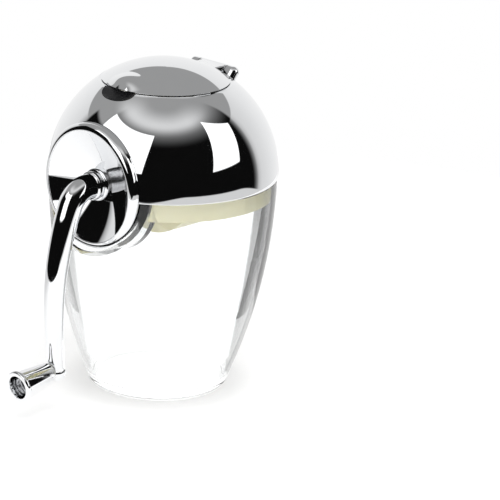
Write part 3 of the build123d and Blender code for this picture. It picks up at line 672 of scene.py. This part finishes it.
dome = {
    "rimRound": 0.5, "edgeRound": 0.5, "seatBore": 30.4, "seatDepth": 56.0, "seatWall": 2.5, "seatGap": 0.15,
    "scoopSize": (16.5, 9.5, 6.0), "scoopWall": 2.2, "scoopOut": 1.5, "roundShare": (0.6, 0.8),
    "opening": 38.4, "openingFrom": 190.0, "cutTop": 230.0, "roomDrop": 8.0, "seatFrom": 40.0,
    "cutReach": 90.0,
}
hinge = {
    "y": 44.8, "z": 205.8, "radius": 3.9, "knuckleHalf": 12.0, "gap": 0.4, "earOuter": 20.8,
    "earDepth": 11.0, "bridgeStart": 25.5, "bridgeRound": 3.0, "bridgeDrop": 4.0, "bridgeOver": 1.5,
}
lidRim = sqrt(body["domeRadius"] ** 2 - (body["lidHeight"] - body["seamHeight"]) ** 2)


def upright(name, radius, low, high, vertices):
    return bar(name, radius, (0, 0, low), (0, 0, high), vertices)


def crankBar(name, radius, near, far, vertices):
    # near and far are measured from the body's axis, out along the crank's
    z = body["crankHeight"]
    return bar(name, radius, (0, -near, z), (0, -far, z), vertices)


def hingeBar(name, radius, left, right, vertices=96):
    return bar(name, radius, (left, hinge["y"], hinge["z"]), (right, hinge["y"], hinge["z"]), vertices)


def scoopForm(extra):
    tilt = asin(lidRim / body["domeRadius"])
    deselectAll()
    out, up = lidRim + dome["scoopOut"], body["lidHeight"] + dome["scoopOut"]
    bpy.ops.mesh.primitive_uv_sphere_add(
        segments=96, ring_count=48, radius=1.0, location=(0, -out * mm, up * mm), rotation=(tilt, 0, 0))
    form = bpy.context.object
    form.scale = [(s + extra) * mm for s in dome["scoopSize"]]
    applyPlace(form)
    return form


def solidOfDome(name, radius, low, high, lowRound, highRound, steps=256):
    zone = sphereZone(radius, low + lowRound, high - highRound, 64)
    lowShare, highShare = dome["roundShare"]
    outline = [(0, low), (zone[0][0] - lowRound * lowShare, low)] + zone
    outline += [(zone[-1][0] - highRound * highShare, high), (0, high)]
    return turned(name, outline, steps=steps)


def makeEar(side):
    flat = (side * (hinge["knuckleHalf"] + hinge["gap"]), side * (hinge["earOuter"] - hinge["radius"]))
    low, high = min(flat), max(flat)
    ridge = hingeBar("ear", hinge["radius"], low, high, 64)
    tip = ball("earTip", hinge["radius"], (flat[1], hinge["y"], hinge["z"]), 64)
    combine(ridge, tip, "UNION")
    lean = -asin(hinge["y"] / body["domeRadius"])
    foot = brick("earFoot", (low, -hinge["radius"], -hinge["earDepth"]), (high, hinge["radius"], 0))
    post = bar("earPost", hinge["radius"], (flat[1], 0, -hinge["earDepth"]), (flat[1], 0, 0), 64)
    for item in (foot, post):
        item.rotation_euler = (lean, 0, 0)
        item.location = (0, hinge["y"] * mm, hinge["z"] * mm)
        applyPlace(item)
        combine(ridge, item, "UNION")
    return ridge


def makeDome():
    radius, wall, seam = body["domeRadius"], body["domeWall"], body["seamHeight"]
    top = body["lidHeight"] - body["lidGap"]
    shell = solidOfDome("domeHousing", radius, seam, top, dome["rimRound"], dome["edgeRound"])
    roomLow, roomTop = seam - dome["roomDrop"], seam + radius - wall
    zone = sphereZone(radius - wall, roomLow, roomTop - 0.01, 64)
    room = turned("room", zone + [(0, roomTop), (0, roomLow)], steps=192)
    seat, reach = body["dishRadius"] + dome["seatGap"], dome["cutReach"]
    cup = crankBar("cup", seat + dome["seatWall"], dome["seatDepth"] - dome["seatWall"], reach, 160)
    combine(room, cup, "DIFFERENCE")
    thick = scoopForm(dome["scoopWall"])
    opening = upright("opening", dome["opening"], dome["openingFrom"], dome["cutTop"], 160)
    combine(thick, opening, "DIFFERENCE")
    combine(room, thick, "DIFFERENCE")
    shell.data.materials.append(materials["chrome_dome"])
    # the dome's hollow inside takes the painted shade
    room.data.materials.append(recessPaintedShade)
    combine(shell, room, "DIFFERENCE", "TRANSFER")
    combine(shell, crankBar("bore", seat, dome["seatDepth"], reach, 192), "DIFFERENCE")
    combine(shell, crankBar("seatHole", dome["seatBore"], dome["seatFrom"], reach, 128), "DIFFERENCE")
    # the thumb scoop takes the painted shade in place of its dark reflection
    recess = scoopForm(0)
    recess.data.materials.append(recessPaintedShade)
    combine(shell, recess, "DIFFERENCE", "TRANSFER")
    for side in (-1, 1):
        ear = makeEar(side)
        lidRoom = upright("lidRoom", lidRim + body["lidGap"], top, dome["cutTop"], 192)
        combine(ear, lidRoom, "DIFFERENCE")
        combine(ear, ball("inside", radius - wall, (0, 0, seam), 96), "DIFFERENCE")
        combine(shell, ear, "UNION")
    half = hinge["knuckleHalf"] + hinge["gap"]
    combine(shell, hingeBar("channel", hinge["radius"] + hinge["gap"], -half, half), "DIFFERENCE")
    cleanNormals(shell)
    return smooth(shell)


domeHousing = dress(makeDome(), "chrome_dome", "head", "dome_housing")
print("dome")

lid = {
    "tabReach": 35.0, "tabHalfWidth": 15.5, "tabDepth": 9.5, "tabRise": 2.0, "tabFall": 1.5,
    "rimRound": 0.5, "underRadius": 60.0, "underDepth": 10.0,
}


def makeLid():
    radius, low, seam = body["domeRadius"], body["lidHeight"], body["seamHeight"]
    zone = sphereZone(radius, low + lid["rimRound"], seam + radius, 72)
    rim = zone[0][0] - lid["rimRound"] * dome["roundShare"][0]
    cap = turned("lidShell", [(0, low), (rim, low)] + zone[:-1] + [(0, seam + radius)], steps=256)
    # the thumb tab is a low pillow raised from the cap's front edge
    tilt = asin(lid["tabReach"] / radius)
    centre = Vector((0, -lid["tabReach"], seam + sqrt(radius ** 2 - lid["tabReach"] ** 2))) * mm
    along = Vector((0, cos(tilt), sin(tilt)))
    halfWidth, halfDepth = lid["tabHalfWidth"] * mm, lid["tabDepth"] * mm
    group = cap.vertex_groups.new(name="tab")
    for vertex in cap.data.vertices:
        gap = vertex.co - centre
        far = sqrt((gap.x / halfWidth) ** 2 + (gap.dot(along) / halfDepth) ** 2)
        if far < 1 and vertex.co.z > (low + 0.1) * mm:
            group.add([vertex.index], (1 - far ** 2) ** lid["tabFall"], "REPLACE")
    applyModifier(cap, "DISPLACE", vertex_group="tab", strength=lid["tabRise"] * mm, mid_level=0.0)
    cap.data.materials.append(materials["chrome_lid"])
    hollow = ball("hollow", radius - body["lidWall"], (0, 0, seam), 192)
    # the lid's hollow inside takes the painted shade
    hollow.data.materials.append(recessPaintedShade)
    combine(cap, hollow, "DIFFERENCE", "TRANSFER")
    half = hinge["knuckleHalf"]
    bridge = brick(
        "bridge", (-half, hinge["bridgeStart"], low - hinge["bridgeDrop"]),
        (half, hinge["y"] + hinge["bridgeOver"], hinge["z"] + hinge["radius"]), hinge["bridgeRound"])
    combine(bridge, upright("under", lid["underRadius"], low - lid["underDepth"], low, 64), "DIFFERENCE")
    combine(bridge, hingeBar("knuckle", hinge["radius"], -half, half), "UNION")
    combine(bridge, ball("inside", radius - body["lidWall"], (0, 0, seam), 96), "DIFFERENCE")
    combine(cap, bridge, "UNION")
    cleanNormals(cap)
    return smooth(cap)


lidShell = dress(makeLid(), "chrome_lid", "lid", "lid_shell")
print("lid")

dish = {
    "faceRadius": 36.2, "reach": 68.2, "depth": 14.5, "flat": 8.5, "bulge": 1.0, "lipRound": 0.4,
    "lipSlope": 32.0, "skirt": 56.0, "wall": 2.0, "bore": 7.3,
}


def bowlLine(offset, count=40):
    a = Vector((dish["flat"], dish["reach"] - dish["depth"] - offset))
    slope = radians(dish["lipSlope"])
    lip = dish["reach"] - dish["lipRound"]
    b = Vector((dish["faceRadius"] + offset * sin(slope), lip - offset * cos(slope)))
    chord = b - a
    half, bulge = chord.length / 2, dish["bulge"]
    radius = (half ** 2 + bulge ** 2) / (2 * bulge)
    normal = Vector((chord.y, -chord.x)).normalized()
    centre = (a + b) / 2 - normal * (radius - bulge)
    start = degrees(atan2(a.y - centre.y, a.x - centre.x))
    end = degrees(atan2(b.y - centre.y, b.x - centre.x))
    return arc(centre.x, centre.y, radius, start, end, count)


def makeDish():
    front = bowlLine(0)
    back = bowlLine(dish["wall"], 24)
    outer = body["dishRadius"]
    crownR = dish["faceRadius"] + dish["lipRound"]
    rimRound = outer - crownR
    # small round at the bowl's lip, then a quarter circle over the rim
    inside = arc(crownR, dish["reach"] - dish["lipRound"], dish["lipRound"], 180, 90, 6)[1:]
    outside = arc(crownR, dish["reach"] - rimRound, rimRound, 90, 0, 24)[1:]
    outline = [(dish["bore"], front[0][1])] + front + inside + outside
    inner = outer - dish["wall"]
    outline += [(outer, dish["skirt"]), (inner, dish["skirt"]), (inner, back[-1][1] - 2)]
    outline += list(reversed(back)) + [(dish["bore"], back[0][1])]
    piece = onCrank("crankDish", outline, 256)
    return smooth(piece, 35)


crankDish = dress(makeDish(), "chrome_dish", "head", "crank_dish")
print("dish")

crank = {
    "hubReach": 58.5, "hubLength": 8.0, "flangeRadius": 10.5, "flange": 3.2, "hubRadius": 9.3, "bead": 1.2,
    "step": 1.0, "bore": 5.8, "boreDepth": 6.0,
    "straight": 1.5, "bendRadius": 16.0, "bendAngle": 68.0, "upperRadius": 171.0, "lowerRadius": 357.0,
    "lean": 7.3, "root": 8.3, "neck": 8.0, "waist": 6.6, "tip": 5.7, "ball": 6.3, "knobRise": 2.3,
    "rings": (24, 26, 18),
}
knob = {
    "seat": 5.9, "washer": 0.8, "play": 0.3, "length": 26.6, "inner": 7.2, "outer": 10.8, "bore": 7.5,
    "boreDepth": 14.0, "lip": 1.2, "bead": 3.2, "edge": 0.7, "pin": 3.06,
    "pinHole": 3.0, "pinHoleFrom": -3.5, "pinHoleTo": 20.0,
}
hubEnd = crank["hubReach"] + crank["hubLength"]


def halfOval(centreR, centreH, across, along, angles):
    return [(centreR + across * cos(radians(a)), centreH + along * sin(radians(a))) for a in angles]


def makeHub():
    start, lip = crank["hubReach"], crank["hubReach"] + crank["flange"]
    waist = crank["flangeRadius"] - crank["bead"]
    wide, neck = crank["hubRadius"], crank["hubRadius"] - crank["step"]
    half, boreEnd = crank["flange"] / 2, start + crank["boreDepth"]
    outline = [(crank["bore"], start)]
    outline += halfOval(waist, start + half, crank["bead"], half, range(-90, 91, 12))
    outline += softened([
        (neck, lip, 0.15), (neck, lip + 0.9, 0.25), (wide, lip + 1.5, 0.5), (wide, hubEnd - 1.0, 0.5),
        (neck, hubEnd, 0.4), (neck - 2, hubEnd, 0)])
    outline += [(0, hubEnd), (0, boreEnd), (crank["bore"], boreEnd)]
    return smooth(onCrank("crankHub", outline, 128), 35)


def armPoint(turn):
    first = min(turn, crank["bendAngle"])
    bend, upper, lower = crank["bendRadius"], crank["upperRadius"], crank["lowerRadius"]
    outward = hubEnd + crank["straight"] + bend * sin(radians(first))
    down = bend * (1 - cos(radians(first)))
    if turn > crank["bendAngle"]:
        second = min(turn, 90)
        outward += upper * (sin(radians(second)) - sin(radians(crank["bendAngle"])))
        down += upper * (cos(radians(crank["bendAngle"])) - cos(radians(second)))
    if turn > 90:
        outward += lower * (sin(radians(turn)) - 1)
        down -= lower * cos(radians(turn))
    return outward, down


def armRadius(turn):
    stops = ((0, crank["root"]), (crank["bendAngle"], crank["neck"]), (90, crank["waist"]),
             (90 + crank["lean"], crank["tip"]))
    for (turnA, radiusA), (turnB, radiusB) in zip(stops, stops[1:]):
        if turn <= turnB:
            t = (turn - turnA) / (turnB - turnA)
            return radiusA + (radiusB - radiusA) * t
    return crank["tip"]


def knobPlace(distance):
    outward, down = armPoint(90 + crank["lean"])
    lean = radians(crank["lean"])
    outward += crank["knobRise"] * sin(lean) + distance * cos(lean)
    down += distance * sin(lean) - crank["knobRise"] * cos(lean)
    return (0, -outward, body["crankHeight"] - down)


def makeArm():
    # rings along the arm's bend, bridged into one tube
    end = 90 + crank["lean"]
    inBend, above, below = crank["rings"]
    turns = [crank["bendAngle"] * i / inBend for i in range(inBend)]
    turns += [crank["bendAngle"] + (90 - crank["bendAngle"]) * i / above for i in range(above)]
    turns += [90 + crank["lean"] * i / below for i in range(below + 1)]
    deselectAll()
    bpy.ops.mesh.primitive_circle_add(
        vertices=64, radius=crank["root"] * mm, location=(0, -hubEnd * mm, body["crankHeight"] * mm),
        rotation=(radians(90), 0, 0))
    arm = bpy.context.object
    arm.name = "crankArm"
    applyPlace(arm)
    bpy.ops.object.mode_set(mode="EDIT")
    for turn in turns:
        outward, down = armPoint(turn)
        place = (0, -outward * mm, (body["crankHeight"] - down) * mm)
        bpy.ops.mesh.primitive_circle_add(
            vertices=64, radius=armRadius(turn) * mm, location=place, rotation=(radians(90 + turn), 0, 0))
    bpy.ops.mesh.select_all(action="SELECT")
    bpy.ops.mesh.bridge_edge_loops(type="SINGLE")
    bpy.ops.mesh.select_all(action="SELECT")
    bpy.ops.mesh.fill_holes(sides=0)
    bpy.ops.object.mode_set(mode="OBJECT")
    cleanNormals(arm)
    outward, down = armPoint(end)
    tip = ball("armTip", crank["ball"], (0, -outward, body["crankHeight"] - down), 64)
    combine(arm, tip, "UNION")
    seat = knob["seat"]
    flat = bar("armFlat", 2 * crank["ball"], knobPlace(seat), knobPlace(seat + crank["ball"]), 48)
    combine(arm, flat, "DIFFERENCE")
    hole = bar("pinHole", knob["pinHole"], knobPlace(knob["pinHoleFrom"]), knobPlace(knob["pinHoleTo"]), 48)
    combine(arm, hole, "DIFFERENCE")
    cleanNormals(arm)
    return smooth(arm, 40)


def makeKnob():
    near = knob["seat"] + knob["washer"] + knob["play"]
    far = near + knob["length"]
    bead = far - knob["bead"]
    neck = knob["outer"] - knob["lip"]
    pin, inner, bore, edge = knob["pin"], knob["inner"], knob["bore"], knob["edge"]
    outline = [(pin, near), (inner - edge, near), (inner - 0.2, near + 0.25), (inner, near + edge)]
    outline.append((neck, bead))
    outline += halfOval(neck, (bead + far) / 2, knob["lip"], knob["bead"] / 2, range(-70, 91, 10))
    outline += [(bore + edge, far), (bore + 0.2, far - 0.2), (bore, far - edge)]
    outline += [(bore, far - knob["boreDepth"]), (pin, far - knob["boreDepth"])]
    piece = turned("knobSleeve", outline, knobPlace(0), 90 + crank["lean"], 128)
    return smooth(piece, 35)


crankHub = dress(makeHub(), "chrome_crank", "crank", "crank_hub")
crankArm = dress(makeArm(), "chrome_crank", "crank", "crank_arm")
knobSleeve = dress(makeKnob(), "chrome_knob", "knob", "knob_sleeve")
print("crank and knob")

jar = {
    "mouth": 74.3, "sideArc": 360.0, "wall": 3.0, "floor": 5.0, "foot": 5.6, "inside": 9.0, "rim": 0.7,
    "footStart": 0.86, "footShift": 0.99, "innerOver": 10.0,
    "pocketGap": 0.6, "pocketWall": 3.0, "pocketOuter": 50.7, "wallReach": 100.0, "cutReach": 120.0,
    "tube": 11.6, "tubeFrom": 10.0, "tubeTo": 60.0,
}


def sideRadius(height, inset):
    centre = jar["mouth"] - jar["sideArc"]
    return centre + sqrt((jar["sideArc"] - inset) ** 2 - (body["seamHeight"] - height) ** 2)


def jarOutline(inset, bottom, roundness, top, rim):
    # the foot's round is a true arc between the floor and the bellied side
    side = []
    start = bottom + roundness * jar["footStart"]
    for i in range(49):
        h = start + (top - rim - start) * i / 48
        side.append((sideRadius(h, inset), h))
    r, h = side[0][0] - roundness * jar["footShift"], bottom + roundness
    foot = [(r + roundness * sin(radians(a)), h - roundness * cos(radians(a))) for a in range(0, 80, 8)]
    outline = [(0, bottom)] + foot + side
    return outline + [(side[-1][0] - rim, top), (0, top)]


def makeContainer():
    seam, thick = body["seamHeight"], jar["pocketWall"]
    outer = turned("container", jarOutline(0, 0, jar["foot"], seam, jar["rim"]), steps=256)
    inside = jarOutline(jar["wall"], jar["floor"], jar["inside"], seam + jar["innerOver"], 0)
    inner = turned("inner", inside, steps=256)
    pocket, floor = body["dishRadius"] + jar["pocketGap"], jar["pocketOuter"]
    wall = crankBar("pocketWall", pocket + thick, floor - thick, jar["wallReach"], 192)
    combine(inner, wall, "DIFFERENCE")
    combine(outer, inner, "DIFFERENCE")
    combine(outer, crankBar("pocketRoom", pocket, floor, jar["cutReach"], 192), "DIFFERENCE")
    combine(outer, crankBar("tubeRoom", jar["tube"], jar["tubeFrom"], jar["tubeTo"], 96), "DIFFERENCE")
    cleanNormals(outer)
    return smooth(outer, 30)


containerPiece = dress(makeContainer(), "clear_container", "container", "container")
containerPiece.visible_shadow = False
print("container")

rebuilt = {"dome_housing", "lid_shell", "crank_dish", "crank_hub", "crank_arm", "knob_sleeve", "container"}


def refine(name):
    # a merged, smooth-shaded copy of a CAD node
    pick(nodes[name])
    bpy.ops.object.duplicate()
    piece = bpy.context.object
    piece.name = name + ".fine"
    for key in [k for k in piece.keys() if k.startswith("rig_")]:
        del piece[key]
    bpy.ops.object.mode_set(mode="EDIT")
    bpy.ops.mesh.select_all(action="SELECT")
    bpy.ops.mesh.remove_doubles(threshold=0.00001)
    bpy.ops.object.mode_set(mode="OBJECT")
    smooth(piece, 25)
    return dress(piece, slotOf[name], bodyOf[name], name)


for name in sorted(nodes):
    if name not in rebuilt:
        refine(name)
print("CAD pieces finished")
